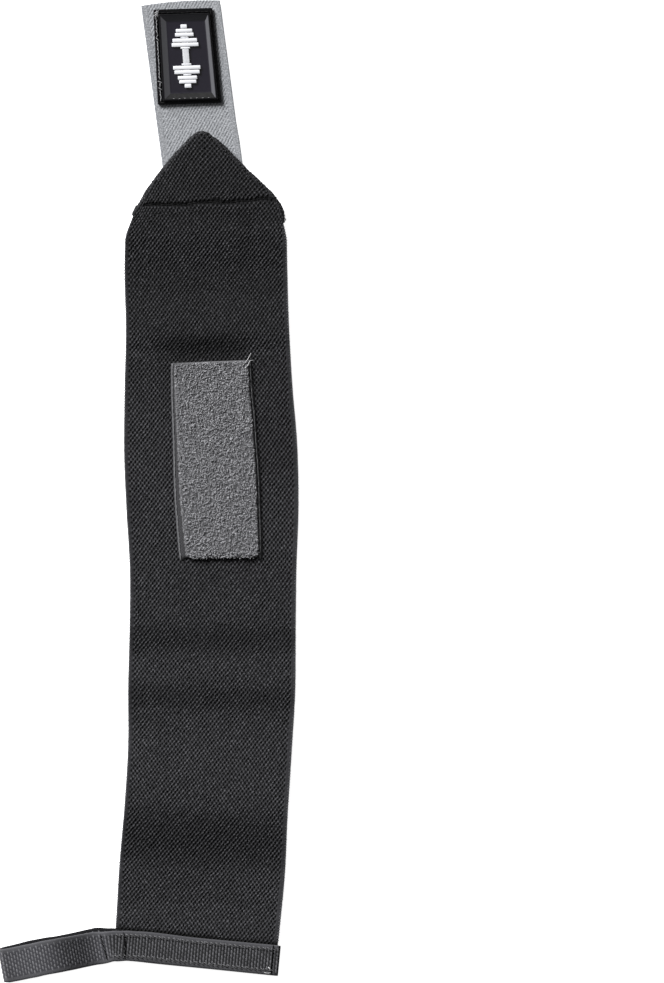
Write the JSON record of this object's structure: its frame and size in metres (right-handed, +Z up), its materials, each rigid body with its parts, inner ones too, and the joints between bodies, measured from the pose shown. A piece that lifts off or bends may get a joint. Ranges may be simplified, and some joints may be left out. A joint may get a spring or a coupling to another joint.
{
  "type": "wrist wrap",
  "caption": "Elastic wrist wrap laid out flat, with a pointed end carrying a hook tab and badge, a loop patch on its face and a thumb loop at the other end.",
  "frame": {"origin": "on the table, under the middle of the bounding box of the laid-out wrap", "axes": "+Y runs along the wrap from the thumb loop's end to the hook tab, +X across it away from the thumb loop, +Z up off the table, out of the outer face"},
  "size_m": [0.1468, 0.4764, 0.0108],
  "materials": {
    "elastic": "black woven elastic with an open diamond weave, matte",
    "webbing": "charcoal ribbed webbing, matte",
    "hook_tape": "light grey twill tape back with hooks on its other face, matte",
    "badge_rubber": "black moulded rubber, soft gloss",
    "motif_rubber": "white moulded rubber, satin",
    "loop_pile": "mid grey brushed loop pile, matte"
  },
  "bodies": {
    "root": {"elastic_band": "elastic", "thumb_loop": "webbing", "hook_tab": "hook_tape", "badge": "badge_rubber", "badge_motif": "motif_rubber", "loop_patch": "loop_pile"}
  },
  "joints": []
}
